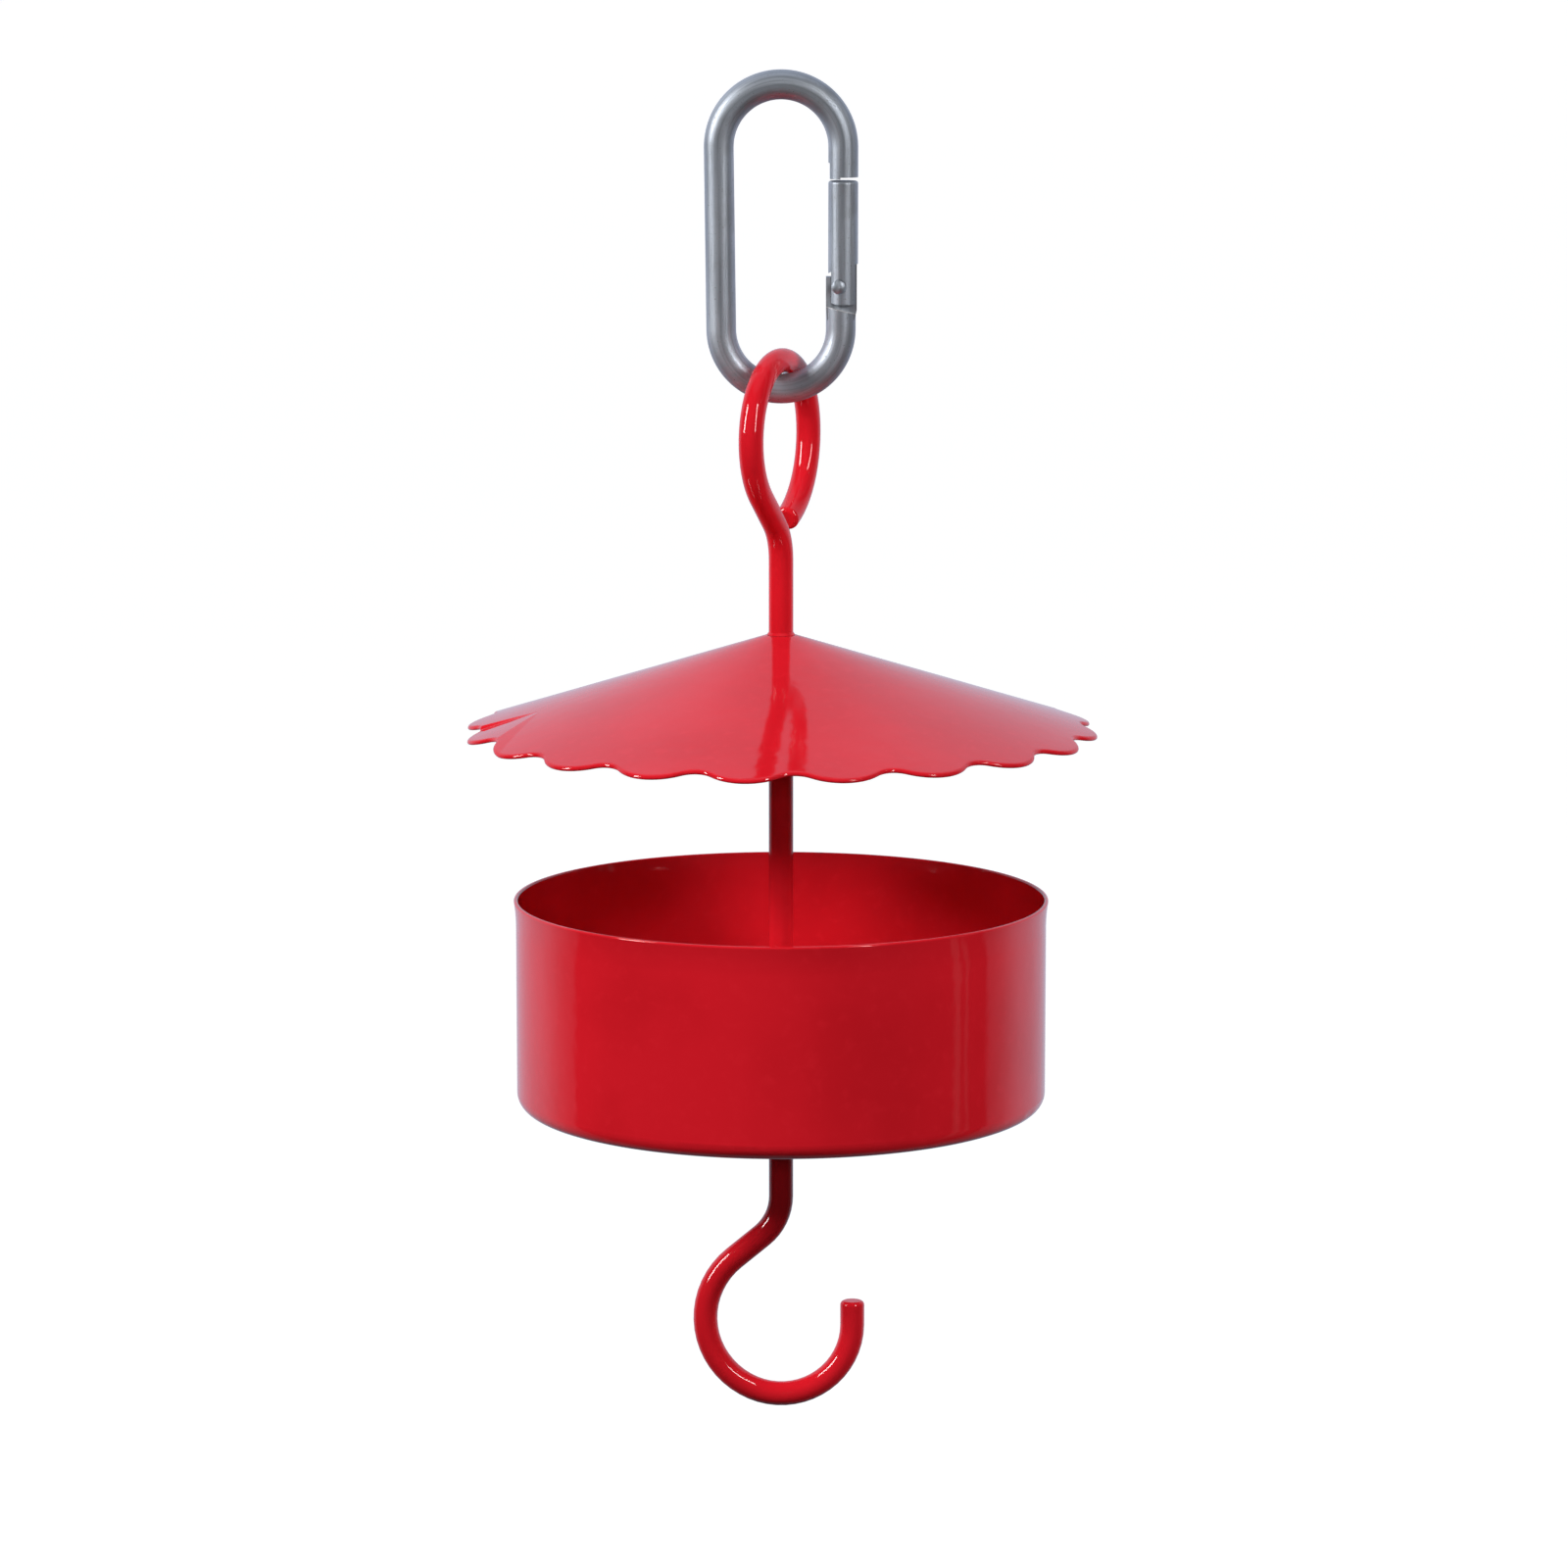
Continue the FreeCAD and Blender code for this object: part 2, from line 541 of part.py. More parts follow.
def rain_cover():
    """Sheet cone with a scalloped rim, its point on the rod's line."""
    body = new_body("rain_cover", ("0", "0", COVER_Z))
    body.Placement.Rotation = FreeCAD.Rotation(FreeCAD.Vector(0, 0, 1), num("cover_turn"))
    body.setExpression("Placement.Rotation.Angle", ref("cover_turn"))
    drop = "tan(cover_slope)"
    sheet_v = "(cover_sheet / cos(cover_slope))"
    hole_r = "(rod_d / 2)"
    spin(body, "cone", outline(body, "cone_line", "XZ", [
        (hole_r, f"-{hole_r} * {drop}"), (hole_r, f"-{hole_r} * {drop} - {sheet_v}"),
        ("cover_tip_r", f"-cover_tip_r * {drop} - {sheet_v}"),
        ("cover_tip_r", f"-cover_tip_r * {drop}"),
    ]))

    # a valley is an arc that meets two lobe arcs smoothly, each as wide as its scallop
    half = "(180 / scallops)"
    reach = "(cover_valley_r + cover_valley_arc_r)"
    tip = "(cover_tip_r + cover_valley_arc_r)"
    lobe_c = f"(({tip} ^ 2 - {reach} ^ 2) / (2 * ({tip} - cos({half}) * {reach})))"
    lobe_r = f"(cover_tip_r - {lobe_c})"
    share = f"(cover_valley_arc_r / (cover_valley_arc_r + {lobe_r}))"
    meet_x = f"({reach} + ({lobe_c} * cos({half}) - {reach}) * {share})"
    meet_y = f"({lobe_c} * sin({half}) * {share})"
    tip_x = f"(cover_tip_r * cos({half}))"
    tip_y = f"(cover_tip_r * sin({half}))"
    out_x = "(cover_tip_r + cover_valley_arc_r)"
    valley = outline(body, "valley_line", "XY", [
        (out_x, f"-{tip_y}"), (out_x, tip_y), (tip_x, tip_y, f"-{lobe_r}"),
        (meet_x, meet_y, "cover_valley_arc_r"), (meet_x, f"-{meet_y}", f"-{lobe_r}"),
        (tip_x, f"-{tip_y}"),
    ])
    first = cut(body, "valley", valley)
    ring = body.newObject("PartDesign::PolarPattern", "valleys")
    ring.Originals = [first]
    ring.Axis = (valley, ["N_Axis"])
    ring.Angle = 360.0
    ring.setExpression("Occurrences", ref("scallops"))
    body.Tip = ring
    doc.recompute()
    return body


def moat_cup():
    """Drawn sheet cup with a rounded corner and a lightly flared lip."""
    body = new_body("moat_cup", ("0", "0", CUP_Z))
    wall_in = "(cup_r - cup_sheet)"
    lip_r = "(cup_r + lip_flare)"
    lip_in = f"({lip_r} - cup_sheet)"
    floor_z = "(cup_sheet - cup_depth)"
    flare_r = "((lip_blend ^ 2 + lip_flare ^ 2) / (2 * lip_flare))"
    spin(body, "cup", outline(body, "cup_line", "XZ", [
        ("rod_d / 2", floor_z), ("rod_d / 2", "-cup_depth"),
        ("cup_r", "-cup_depth"), ("cup_r", "-lip_blend", f"-{flare_r}"), (lip_r, "0"),
        (lip_in, "0", flare_r), (wall_in, "-lip_blend"), (wall_in, floor_z),
    ]))
    round_edges(body, "outer_corner", "cup_corner_r", ring_at(num("-cup_depth"), num("cup_r")))
    round_edges(body, "inner_corner", "cup_corner_r - cup_sheet",
                ring_at(num(floor_z), num(wall_in)))
    round_edges(body, "rim", "lip_round", ring_at(0))
    return body


def bead(label, base_z, leg, slope="0", side=1):
    """Weld bead round the rod: side 1 lies on a sheet, side -1 hangs under one."""
    body = new_body(label, ("0", "0", base_z))
    near = "(rod_d / 2)"
    far = f"({near} + {leg})"
    near_z = f"(-{near} * tan({slope}))"
    far_z = f"(-{far} * tan({slope}))"
    rise = f"({near_z} + {side} * {leg})"
    spin(body, "bead", outline(body, "bead_line", "XZ", [
        (near, near_z), (far, far_z), (near, rise),
    ] if side > 0 else [
        (near, near_z), (near, rise), (far, far_z),
    ]))
    return body


def build():
    sheet_v = "(cover_sheet / cos(cover_slope))"
    return [
        carabiner_body(),
        carabiner_gate(),
        gate_rivet(),
        gate_pin(),
        gate_spring(),
        hanger_rod(),
        rain_cover(),
        moat_cup(),
        bead("cover_top_weld", COVER_Z, "top_weld", "cover_slope"),
        bead("cover_underside_weld", f"{COVER_Z} - {sheet_v}", "cover_weld", "cover_slope", -1),
        bead("cup_floor_weld", f"{CUP_BASE_Z} + cup_sheet", "floor_weld"),
        bead("cup_underside_weld", CUP_BASE_Z, "under_weld", side=-1),
    ]


pieces = build()
doc.recompute()

for thing in doc.Objects:
    if "Invalid" in thing.State or "Error" in thing.State:
        raise RuntimeError(f"{thing.Label}: {thing.State}")

os.makedirs("parts", exist_ok=True)
for piece in pieces:
    shape = piece.Shape
    if shape.isNull() or not shape.isValid() or len(shape.Solids) != 1:
        raise RuntimeError(f"{piece.Label} isn't one valid solid")
    box = shape.BoundBox
    print(f"{piece.Label:22s} volume {shape.Volume:10.2f}  "
          f"x {box.XMin:8.2f} {box.XMax:8.2f}  y {box.YMin:8.2f} {box.YMax:8.2f}  "
          f"z {box.ZMin:8.2f} {box.ZMax:8.2f}")
    shape.exportStep(f"parts/{piece.Label}.step")
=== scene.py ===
import math

import bpy
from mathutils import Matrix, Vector, noise


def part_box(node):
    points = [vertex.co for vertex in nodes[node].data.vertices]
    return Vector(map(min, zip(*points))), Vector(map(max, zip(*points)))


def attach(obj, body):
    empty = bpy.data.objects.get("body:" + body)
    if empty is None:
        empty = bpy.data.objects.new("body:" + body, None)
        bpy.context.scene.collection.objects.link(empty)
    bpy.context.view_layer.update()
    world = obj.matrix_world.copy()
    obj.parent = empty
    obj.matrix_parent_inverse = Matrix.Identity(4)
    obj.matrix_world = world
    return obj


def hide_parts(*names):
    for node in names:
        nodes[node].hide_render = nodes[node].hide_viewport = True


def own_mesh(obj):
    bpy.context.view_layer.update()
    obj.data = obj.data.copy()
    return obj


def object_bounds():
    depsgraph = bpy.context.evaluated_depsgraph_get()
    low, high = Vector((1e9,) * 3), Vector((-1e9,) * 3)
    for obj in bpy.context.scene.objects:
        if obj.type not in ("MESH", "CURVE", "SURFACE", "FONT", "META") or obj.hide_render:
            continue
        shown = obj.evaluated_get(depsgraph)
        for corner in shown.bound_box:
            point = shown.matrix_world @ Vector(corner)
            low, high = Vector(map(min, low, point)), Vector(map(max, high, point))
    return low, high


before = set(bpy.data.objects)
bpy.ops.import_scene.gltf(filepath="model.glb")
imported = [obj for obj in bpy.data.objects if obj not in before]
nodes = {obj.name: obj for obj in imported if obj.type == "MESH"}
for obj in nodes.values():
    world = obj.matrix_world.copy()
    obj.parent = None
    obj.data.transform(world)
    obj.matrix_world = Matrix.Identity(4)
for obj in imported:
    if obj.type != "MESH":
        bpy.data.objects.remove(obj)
cad_low, cad_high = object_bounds()

MM = 0.001


# ---- shader helpers ----

class Tree:
    """Short ways to add nodes to one node tree."""

    def __init__(self, tree):
        self.tree = tree
        tree.nodes.clear()

    def node(self, kind, **settings):
        made = self.tree.nodes.new(kind)
        for key, setting in settings.items():
            setattr(made, key, setting)
        return made

    def link(self, source, target):
        self.tree.links.new(source, target)

    def feed(self, socket, thing):
        """Links a socket, or sets its number, vector or colour."""
        if isinstance(thing, bpy.types.NodeSocket):
            self.link(thing, socket)
        else:
            socket.default_value = thing

    def math(self, operation, *terms):
        made = self.node("ShaderNodeMath", operation=operation)
        for socket, term in zip(made.inputs, terms):
            self.feed(socket, term)
        return made.outputs[0]

    def vector(self, x, y, z):
        made = self.node("ShaderNodeCombineXYZ")
        for socket, term in zip(made.inputs, (x, y, z)):
            self.feed(socket, term)
        return made.outputs[0]

    def noise(self, place, scale, detail=2.0, roughness=0.5):
        made = self.node("ShaderNodeTexNoise")
        self.feed(made.inputs["Vector"], place)
        made.inputs["Scale"].default_value = scale
        made.inputs["Detail"].default_value = detail
        made.inputs["Roughness"].default_value = roughness
        return made.outputs["Fac"]

    def grid(self, place, scale):
        made = self.node("ShaderNodeTexVoronoi")
        self.feed(made.inputs["Vector"], place)
        made.inputs["Scale"].default_value = scale
        return made

    def span(self, thing, low, high, to_low=0.0, to_high=1.0, smooth=False):
        made = self.node("ShaderNodeMapRange")
        made.interpolation_type = "SMOOTHSTEP" if smooth else "LINEAR"
        self.feed(made.inputs["Value"], thing)
        for name, term in zip(("From Min", "From Max", "To Min", "To Max"),
                              (low, high, to_low, to_high)):
            made.inputs[name].default_value = term
        return made.outputs["Result"]

    def blend(self, share, first, second):
        made = self.node("ShaderNodeMix", data_type="RGBA")
        self.feed(made.inputs["Factor"], share)
        self.feed(made.inputs[6], first)
        self.feed(made.inputs[7], second)
        return made.outputs[2]

    def bump(self, height, depth, under=None):
        made = self.node("ShaderNodeBump")
        made.inputs["Strength"].default_value = 1.0
        made.inputs["Distance"].default_value = depth
        self.feed(made.inputs["Height"], height)
        if under is not None:
            self.link(under, made.inputs["Normal"])
        return made.outputs["Normal"]


def colour(red, green, blue):
    return (red, green, blue, 1.0)


def new_material(name):
    """A material with its tree, its main shader and the rest-frame place of each point."""
    made = bpy.data.materials.new(name)
    made.use_nodes = True
    t = Tree(made.node_tree)
    shader = t.node("ShaderNodeBsdfPrincipled")
    out = t.node("ShaderNodeOutputMaterial")
    t.link(shader.outputs[0], out.inputs["Surface"])
    place = t.node("ShaderNodeTexCoord").outputs["Object"]
    return made, t, shader, place


# ---- materials ----

# noise scales are in waves per metre, and a bump's depth is in metres

RED = colour(0.72, 0.0110, 0.021)
RED_DEEP = colour(0.66, 0.0095, 0.018)
RED_THIN = colour(0.76, 0.0150, 0.026)
SHEET_PEEL = 0.032 * MM
ROD_PEEL = 0.005 * MM
SWELL = 0.03 * MM
GRIT_HEIGHT = 0.12 * MM
GRIT_SHARE = 0.07

ZINC_DULL = colour(0.44, 0.48, 0.54)
ZINC_PALE = colour(0.55, 0.59, 0.65)
ZINC_LINE = colour(0.31, 0.34, 0.38)
ZINC_CLOUD = colour(0.36, 0.38, 0.41)
ZINC_PIT = colour(0.20, 0.20, 0.20)
ZINC_SHOULDER_HIGHLIGHT = colour(0.78, 0.785, 0.80)
SHOULDER_DROP = 4.7 * MM
SHOULDER_SLOPE = math.radians(14.0)


def red_coat(name, peel_depth):
    """Gloss powder coat: orange peel, a few specks of grit and uneven depth of colour."""
    made, t, shader, place = new_material(name)
    cloud = t.noise(place, 38.0, 3.0)
    fine = t.noise(place, 420.0, 2.0)
    base = t.blend(t.span(cloud, 0.38, 0.66, smooth=True), RED, RED_DEEP)
    base = t.blend(t.span(fine, 0.55, 0.80, 0.0, 0.5), base, RED_THIN)
    t.link(base, shader.inputs["Base Color"])
    t.link(t.span(cloud, 0.3, 0.7, 0.055, 0.095), shader.inputs["Roughness"])
    shader.inputs["IOR"].default_value = 1.5

    peel = t.noise(place, 300.0, 1.0, 0.4)
    swell = t.noise(place, 60.0, 0.0)
    specks = t.grid(place, 95.0)
    lit = t.node("ShaderNodeSeparateColor")
    t.link(specks.outputs["Color"], lit.inputs[0])
    rare = t.math("GREATER_THAN", lit.outputs[0], 1 - GRIT_SHARE)
    dome = t.span(specks.outputs["Distance"], 0.0, 0.032, 1.0, 0.0, smooth=True)
    grit = t.math("MULTIPLY", dome, rare)
    normal = t.bump(swell, SWELL)
    normal = t.bump(peel, peel_depth, normal)
    normal = t.bump(grit, GRIT_HEIGHT, normal)
    t.link(normal, shader.inputs["Normal"])
    return made


def wire_place(t, place, top, foot, fine, slow):
    """Coordinates that run slowly along the bent wire and quickly across it."""
    parts = t.node("ShaderNodeSeparateXYZ")
    t.link(place, parts.inputs[0])
    x, y, z = parts.outputs
    held = t.node("ShaderNodeClamp")
    t.link(z, held.inputs["Value"])
    held.inputs["Min"].default_value = foot
    held.inputs["Max"].default_value = top
    rise = t.math("SUBTRACT", z, held.outputs[0])
    across = t.math("SQRT", t.math("ADD", t.math("MULTIPLY", x, x),
                                   t.math("MULTIPLY", rise, rise)))
    along = t.math("ADD", t.math("MULTIPLY", z, slow), t.math("MULTIPLY", x, slow))
    return t.vector(t.math("MULTIPLY", across, fine), t.math("MULTIPLY", y, fine), along), parts


def zinc(top, foot, pivot):
    """Satin zinc plate on drawn wire: lengthwise draw lines, pits, and a painted highlight line on
    the gate's shoulder.
    """
    made, t, shader, place = new_material("satin_zinc_plate")
    lines_at, parts = wire_place(t, place, top, foot, 2600.0, 55.0)
    draw = t.noise(lines_at, 1.0, 4.0, 0.65)
    broad_at, _ = wire_place(t, place, top, foot, 700.0, 25.0)
    broad = t.noise(broad_at, 1.0, 2.0, 0.5)
    cloud = t.noise(place, 160.0, 3.0, 0.6)
    pits = t.noise(place, 2600.0, 2.0, 0.6)

    base = t.blend(t.span(broad, 0.35, 0.65, smooth=True), ZINC_DULL, ZINC_PALE)
    base = t.blend(t.span(draw, 0.48, 0.66, 0.0, 0.7), base, ZINC_LINE)
    base = t.blend(t.span(cloud, 0.48, 0.70, 0.0, 0.6), base, ZINC_CLOUD)
    base = t.blend(t.span(pits, 0.66, 0.74, 0.0, 0.75), base, ZINC_PIT)

    # painted highlight: a thin near-white line along the sloping shoulder under the gate, standing
    # in for the light that face catches
    out = t.math("SUBTRACT", parts.outputs[0], pivot.x)
    side = t.math("ABSOLUTE", out)
    level = t.math("ADD", t.math("SUBTRACT", parts.outputs[2], pivot.z - SHOULDER_DROP),
                   t.math("MULTIPLY", out, math.tan(SHOULDER_SLOPE)))
    near = t.span(t.math("ABSOLUTE", level), 0.05 * MM, 0.12 * MM, 1.0, 0.0)
    near = t.math("MULTIPLY", near, t.span(side, 3.6 * MM, 4.0 * MM, 1.0, 0.0))
    # blend in the painted shoulder highlight
    base = t.blend(near, base, ZINC_SHOULDER_HIGHLIGHT)
    t.link(base, shader.inputs["Base Color"])

    rough = t.span(broad, 0.3, 0.7, 0.42, 0.54)
    rough = t.math("ADD", rough, t.span(pits, 0.60, 0.75, 0.0, 0.22))
    t.link(rough, shader.inputs["Roughness"])
    shader.inputs["Metallic"].default_value = 0.78
    normal = t.bump(broad, 0.03 * MM)
    normal = t.bump(draw, 0.014 * MM, normal)
    normal = t.bump(pits, 0.010 * MM, normal)
    t.link(normal, shader.inputs["Normal"])
    return made


def spring_steel():
    """Bright drawn steel with fine rings round the wire and a little oil film."""
    made, t, shader, place = new_material("drawn_spring_steel")
    rings = t.noise(place, 5200.0, 2.0, 0.6)
    film = t.noise(place, 900.0, 2.0)
    base = t.blend(t.span(rings, 0.4, 0.7), colour(0.60, 0.60, 0.61), colour(0.42, 0.42, 0.43))
    base = t.blend(t.span(film, 0.5, 0.7, 0.0, 0.5), base, colour(0.40, 0.37, 0.33))
    t.link(base, shader.inputs["Base Color"])
    t.link(t.span(film, 0.3, 0.7, 0.22, 0.38), shader.inputs["Roughness"])
    shader.inputs["Metallic"].default_value = 1.0
    t.link(t.bump(rings, 0.006 * MM), shader.inputs["Normal"])
    return made


def paint(thing, material):
    thing.data.materials.clear()
    thing.data.materials.append(material)


rivet_low, rivet_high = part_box("gate_rivet")
rivet_middle = (rivet_low + rivet_high) / 2
# heights of the centres of the snap hook's top bend and foot bend
WIRE_TOP_BEND = -9.5 * MM
WIRE_FOOT_BEND = -46.05 * MM

sheet_coat = red_coat("red_powder_coat_sheet", SHEET_PEEL)
rod_coat = red_coat("red_powder_coat_rod", ROD_PEEL)
plate = zinc(WIRE_TOP_BEND, WIRE_FOOT_BEND, rivet_middle)
steel = spring_steel()
for name in ("rain_cover", "moat_cup"):
    paint(nodes[name], sheet_coat)
for name in ("hanger_rod", "cover_top_weld", "cover_underside_weld", "cup_floor_weld",
             "cup_underside_weld"):
    paint(nodes[name], rod_coat)
for name in ("carabiner_body", "carabiner_gate", "gate_rivet"):
    paint(nodes[name], plate)
for name in ("gate_pin", "gate_spring"):
    paint(nodes[name], steel)


# ---- the rain cover: a scalloped cone with a rounded edge and a dent in its left rim ----

SCALLOPS = 20
VALLEY_R = 61.2 * MM
VALLEY_ARC = 5.6 * MM
COVER_TURN = math.radians(2.5)
COVER_SLOPE = math.radians(17.65)
SHEET = 0.9 * MM
UNDER_ROD = 0.15 * MM
INNER_RINGS = 40
OUTER_RINGS = 80
UNDER_RINGS = 60
OUTER_FROM = 0.65
PER_SCALLOP = 40
FINER = 3
FINE_FROM = math.radians(174)
FINE_TO = math.radians(226)
EDGE_STEPS = 6
WAVE = 0.02 * MM
WAVE_SCALE = 70.0
WAVE_FROM = 4 * MM
WAVE_FULL = 14 * MM

_, cover_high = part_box("rain_cover")
cover_tip_r = max(math.hypot(v.co.x, v.co.y) for v in nodes["rain_cover"].data.vertices)
rod_r = min(math.hypot(v.co.x, v.co.y) for v in nodes["rain_cover"].data.vertices)
cover_point = cover_high.z + rod_r * math.tan(COVER_SLOPE)

# the dent: a facet between a sharp fold and a soft hinge, and a narrow one back to the cone
DENT_POINT = Vector((-48.8, -7.0)) * MM
DENT_FOLD = Vector((-60.3, -2.6)) * MM - DENT_POINT
DENT_HINGE = Vector((-57.0, -22.2)) * MM - DENT_POINT
DENT_END = Vector((-54.8, -27.0)) * MM - DENT_POINT
FOLD_DROP = 0.70 * MM
FOLD_WIDTH = 0.6 * MM
HINGE_LIFT = 0.55 * MM


def rim_radius(angle):
    """Rim radius: lobe arcs and valley arcs that meet smoothly, as pressed."""
    half = math.pi / SCALLOPS
    off = abs((angle - COVER_TURN + half) % (2 * half) - half)
    reach = VALLEY_R + VALLEY_ARC
    tip = cover_tip_r + VALLEY_ARC
    lobe_c = (tip ** 2 - reach ** 2) / (2 * (tip - math.cos(half) * reach))
    lobe_r = cover_tip_r - lobe_c
    share = VALLEY_ARC / (VALLEY_ARC + lobe_r)
    meet = math.atan2(lobe_c * math.sin(half) * share,
                      reach + (lobe_c * math.cos(half) - reach) * share)
    if off < meet:
        return reach * math.cos(off) - math.sqrt(VALLEY_ARC ** 2 - (reach * math.sin(off)) ** 2)
    off = half - off
    return lobe_c * math.cos(off) + math.sqrt(lobe_r ** 2 - (lobe_c * math.sin(off)) ** 2)


def smooth(value, low, high):
    share = min(1.0, max(0.0, (value - low) / (high - low)))
    return share * share * (3 - 2 * share)


def cross(first, second):
    return first.x * second.y - first.y * second.x


def dent(x, y):
    """How far the dent lifts the sheet at a point; below nought it is pressed down."""
    point = Vector((x, y)) - DENT_POINT
    to_hinge = cross(DENT_FOLD, point) / cross(DENT_FOLD, DENT_HINGE)
    to_fold = cross(point, DENT_HINGE) / cross(DENT_FOLD, DENT_HINGE)
    if to_fold > 0:
        past_fold = cross(DENT_FOLD, point) / DENT_FOLD.length
        step = smooth(past_fold, -FOLD_WIDTH / 2, FOLD_WIDTH / 2)
        return step * (HINGE_LIFT * max(to_hinge, 0.0) - FOLD_DROP * to_fold)
    back = cross(DENT_HINGE, DENT_END)
    share = cross(point, DENT_END) / back
    beyond = cross(DENT_HINGE, point) / back
    return HINGE_LIFT * share if share > 0 and beyond >= 0 else 0.0


def cover_height(x, y):
    """Height of the cover's upper face."""
    r = math.hypot(x, y)
    share = smooth(r, WAVE_FROM, WAVE_FULL)
    ripple = noise.noise(Vector((x, y, 0.0)) * WAVE_SCALE) * WAVE * share
    return cover_point - r * math.tan(COVER_SLOPE) + ripple - WAVE + dent(x, y)


def rim_angles():
    """Directions of the rim's points: closer together where the dent is."""
    angles = []
    step = 2 * math.pi / (SCALLOPS * PER_SCALLOP)
    for i in range(SCALLOPS * PER_SCALLOP):
        cuts = FINER if FINE_FROM < i * step < FINE_TO else 1
        angles += [(i + j / cuts) * step for j in range(cuts)]
    return angles


def cover_mesh():
    """Upper face, rounded edge and lower face, as closed rings round the rod."""
    upright = SHEET / math.cos(COVER_SLOPE)
    inner = rod_r - UNDER_ROD
    angles = rim_angles()
    across = len(angles)
    rims = [rim_radius(a) for a in angles]
    points = []
    bend = SHEET / 2

    def ring(share, down, inset=0.0):
        for a, rim in zip(angles, rims):
            r = inner + (rim - bend - inner) * share + inset
            x, y = r * math.cos(a), r * math.sin(a)
            points.append((x, y, cover_height(x, y) - down))

    for i in range(INNER_RINGS):
        ring(OUTER_FROM * i / INNER_RINGS, 0.0)
    for i in range(OUTER_RINGS):
        ring(OUTER_FROM + (1 - OUTER_FROM) * i / (OUTER_RINGS - 1), 0.0)
    for i in range(1, EDGE_STEPS):
        turn = math.pi * i / EDGE_STEPS
        ring(1.0, upright / 2 * (1 - math.cos(turn)), bend * math.sin(turn))
    for i in range(UNDER_RINGS):
        ring(1 - i / (UNDER_RINGS - 1), upright)
    count = len(points) // across
    faces = []
    for i in range(count):
        for j in range(across):
            here, there = i * across, ((i + 1) % count) * across
            after = (j + 1) % across
            faces.append((here + j, there + j, there + after, here + after))
    mesh = bpy.data.meshes.new("rain_cover_dented")
    mesh.from_pydata(points, [], faces)
    mesh.validate()
    mesh.polygons.foreach_set("use_smooth", [True] * len(mesh.polygons))
    made = bpy.data.objects.new("rain_cover_dented", mesh)
    bpy.context.scene.collection.objects.link(made)
    return made


cover = cover_mesh()
paint(cover, sheet_coat)
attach(cover, "hanger")
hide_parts("rain_cover")


# ---- the gate's push spring, which in the real hook shortens as the pin moves up; here a copy with its own mesh, carried by the gate ----


def push_spring():
    node = nodes["gate_spring"]
    made = node.copy()
    made.data = node.data.copy()
    made.name = "gate_spring_coil"
    bpy.context.scene.collection.objects.link(made)
    return made


spring = push_spring()
paint(spring, steel)
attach(spring, "gate")
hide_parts("gate_spring")
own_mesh(spring)


# ---- floor, light and camera ----

def look_at(thing, place, target):
    thing.location = place
    thing.rotation_mode = "QUATERNION"
    thing.rotation_quaternion = (Vector(target) - Vector(place)).to_track_quat("-Z", "Y")


def around(azimuth, elevation, distance, centre):
    """A place seen from centre: azimuth 0 is in front, positive to the right, in degrees."""
    a, e = math.radians(azimuth), math.radians(elevation)
    return centre + distance * Vector((math.sin(a) * math.cos(e),
                                       -math.cos(a) * math.cos(e), math.sin(e)))


LIGHT_AIM = Vector((0, 0, -0.13))


def softbox(name, azimuth, elevation, distance, width, height, power):
    light = bpy.data.lights.new(name, "AREA")
    light.shape = "RECTANGLE"
    light.size = width
    light.size_y = height
    light.energy = power
    made = bpy.data.objects.new(name, light)
    bpy.context.scene.collection.objects.link(made)
    look_at(made, around(azimuth, elevation, distance, LIGHT_AIM), LIGHT_AIM)
    return made


ROOM_COLOUR = colour(0.016, 0.016, 0.018)
WALL_COLOUR = colour(0.56, 0.62, 0.76)
STAND_COLOUR = colour(0.9, 0.9, 0.9)
# two upright stands on the right: azimuth, half width, brightness
STANDS = ((82.0, 1.6, 0.22), (87.5, 0.5, 0.22))
STAND_FADE = 0.5


def studio_world():
    """White to the camera. Reflections see a pale wall behind, a ceiling, stands and a dim room."""
    world = bpy.data.worlds.new("studio")
    bpy.context.scene.world = world
    world.use_nodes = True
    t = Tree(world.node_tree)
    parts = t.node("ShaderNodeSeparateXYZ")
    t.link(t.node("ShaderNodeTexCoord").outputs["Generated"], parts.inputs[0])
    x, y, z = parts.outputs
    azimuth = t.math("ARCTAN2", x, t.math("MULTIPLY", y, -1.0))
    turn = t.math("ABSOLUTE", azimuth)
    height = t.math("ARCSINE", z)

    def ramp(angle, low, high, to_low, to_high, smooth=False):
        """A ramp between two angles in degrees."""
        return t.span(angle, math.radians(low), math.radians(high), to_low, to_high, smooth)

    edge = ramp(turn, 99, 102, 0.0, 0.34)
    wall = ramp(turn, 100, 128, 0.0, 0.66, smooth=True)
    fade = ramp(height, 36, 46, 1.0, 0.80, smooth=True)
    low = ramp(height, -45, -12, 0.25, 1.0, smooth=True)
    ceiling = ramp(height, 54, 66, 0.0, 0.32, smooth=True)
    back = t.math("MULTIPLY", t.math("MULTIPLY", t.math("ADD", edge, wall), fade), low)
    back = t.math("MAXIMUM", back, ceiling)
    tone = t.blend(back, ROOM_COLOUR, WALL_COLOUR)
    for middle, half, level in STANDS:
        off = t.math("ABSOLUTE", t.math("SUBTRACT", azimuth, math.radians(middle)))
        near = ramp(off, half, half + STAND_FADE, level, 0.0)
        tone = t.blend(t.math("MULTIPLY", near, low), tone, STAND_COLOUR)
    shown = t.node("ShaderNodeBackground")
    t.link(tone, shown.inputs["Color"])
    plain = t.node("ShaderNodeBackground")
    plain.inputs["Color"].default_value = colour(1.0, 1.0, 1.0)
    pick = t.node("ShaderNodeMixShader")
    t.link(t.node("ShaderNodeLightPath").outputs["Is Camera Ray"], pick.inputs[0])
    t.link(shown.outputs[0], pick.inputs[1])
    t.link(plain.outputs[0], pick.inputs[2])
    t.link(pick.outputs[0], t.node("ShaderNodeOutputWorld").inputs["Surface"])


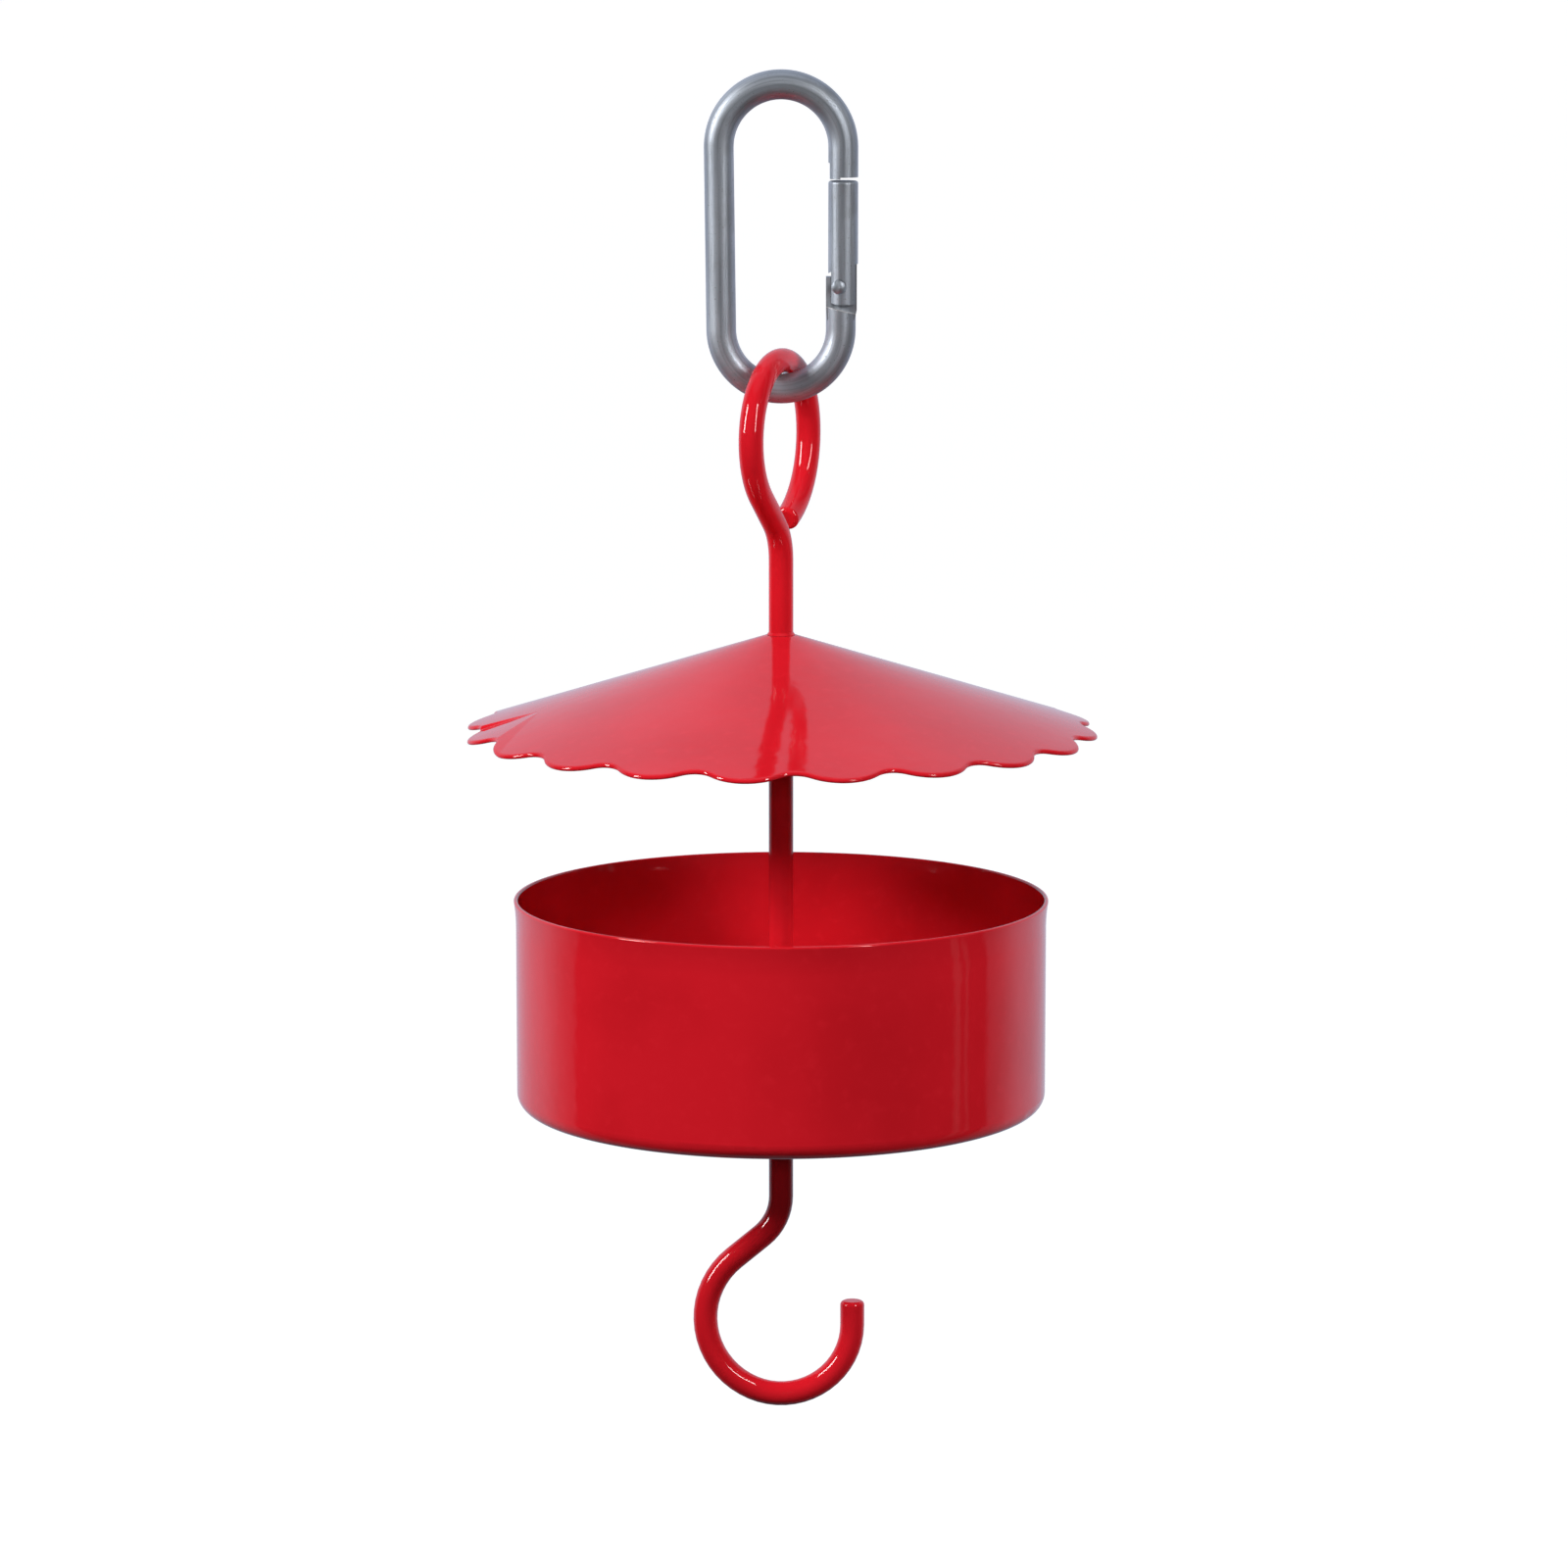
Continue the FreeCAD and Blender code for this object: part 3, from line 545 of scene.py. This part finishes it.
FLOOR_DROP = 0.16
FLOOR_SIZE = 80.0
FLOOR_GLOW = 0.94


def floor():
    """A wide pale floor under the hanging object."""
    made, t, shader, place = new_material("pale_floor")
    t.link(t.blend(t.noise(place, 3.0), colour(0.12, 0.12, 0.12), colour(0.14, 0.14, 0.14)),
           shader.inputs["Base Color"])
    shader.inputs["Roughness"].default_value = 0.9
    shader.inputs["Emission Color"].default_value = colour(1.0, 1.0, 1.0)
    shader.inputs["Emission Strength"].default_value = FLOOR_GLOW
    z = cad_low.z - FLOOR_DROP
    half = FLOOR_SIZE / 2
    mesh = bpy.data.meshes.new("floor")
    mesh.from_pydata([(-half, -half, z), (half, -half, z), (half, half, z), (-half, half, z)],
                     [], [(0, 1, 2, 3)])
    plane = bpy.data.objects.new("floor", mesh)
    bpy.context.scene.collection.objects.link(plane)
    paint(plane, made)
    plane.visible_glossy = False
    plane.visible_diffuse = False


studio_world()
floor()

# strips make the highlights only, and the soft fills show in no reflection
STRIP_ELEVATION = 24
STRIP_DISTANCE = 1.25
STRIP_HEIGHT = 0.67
STRIPS = (
    # side, azimuth, width, power
    ("left", -68, 0.24, 10.5),
    ("right", 37, 0.13, 5.0),
)
FILL_DISTANCE = 1.3
FILLS = (
    # side, azimuth, elevation, width, height, power
    ("left", -65, 27, 0.40, 0.30, 15.0),
    ("right", 55, 27, 0.40, 0.30, 10.0),
    ("low", -5, 10, 0.30, 0.12, 1.9),
)
for side, azimuth, width, power in STRIPS:
    strip = softbox(f"strip_{side}", azimuth, STRIP_ELEVATION, STRIP_DISTANCE, width,
                    STRIP_HEIGHT, power)
    strip.visible_diffuse = False
for side, azimuth, elevation, width, height, power in FILLS:
    fill = softbox(f"fill_{side}", azimuth, elevation, FILL_DISTANCE, width, height, power)
    fill.visible_glossy = False

CAMERA_AIM = Vector((0, 0, -0.139))
CAMERA_ELEVATION = 9.249
CAMERA_DISTANCE = 1.23506
CAMERA_LENS = 138.94
CAMERA_SHIFT = 0.0019
camera_data = bpy.data.cameras.new("camera")
camera_data.sensor_width = 36.0
camera_data.lens = CAMERA_LENS
camera_data.shift_x = CAMERA_SHIFT
camera_data.clip_start = 0.01
camera_data.clip_end = 100.0
camera = bpy.data.objects.new("camera", camera_data)
bpy.context.scene.collection.objects.link(camera)
look_at(camera, around(0, CAMERA_ELEVATION, CAMERA_DISTANCE, CAMERA_AIM), CAMERA_AIM)
bpy.context.scene.camera = camera
bpy.context.scene.view_settings.view_transform = "Standard"
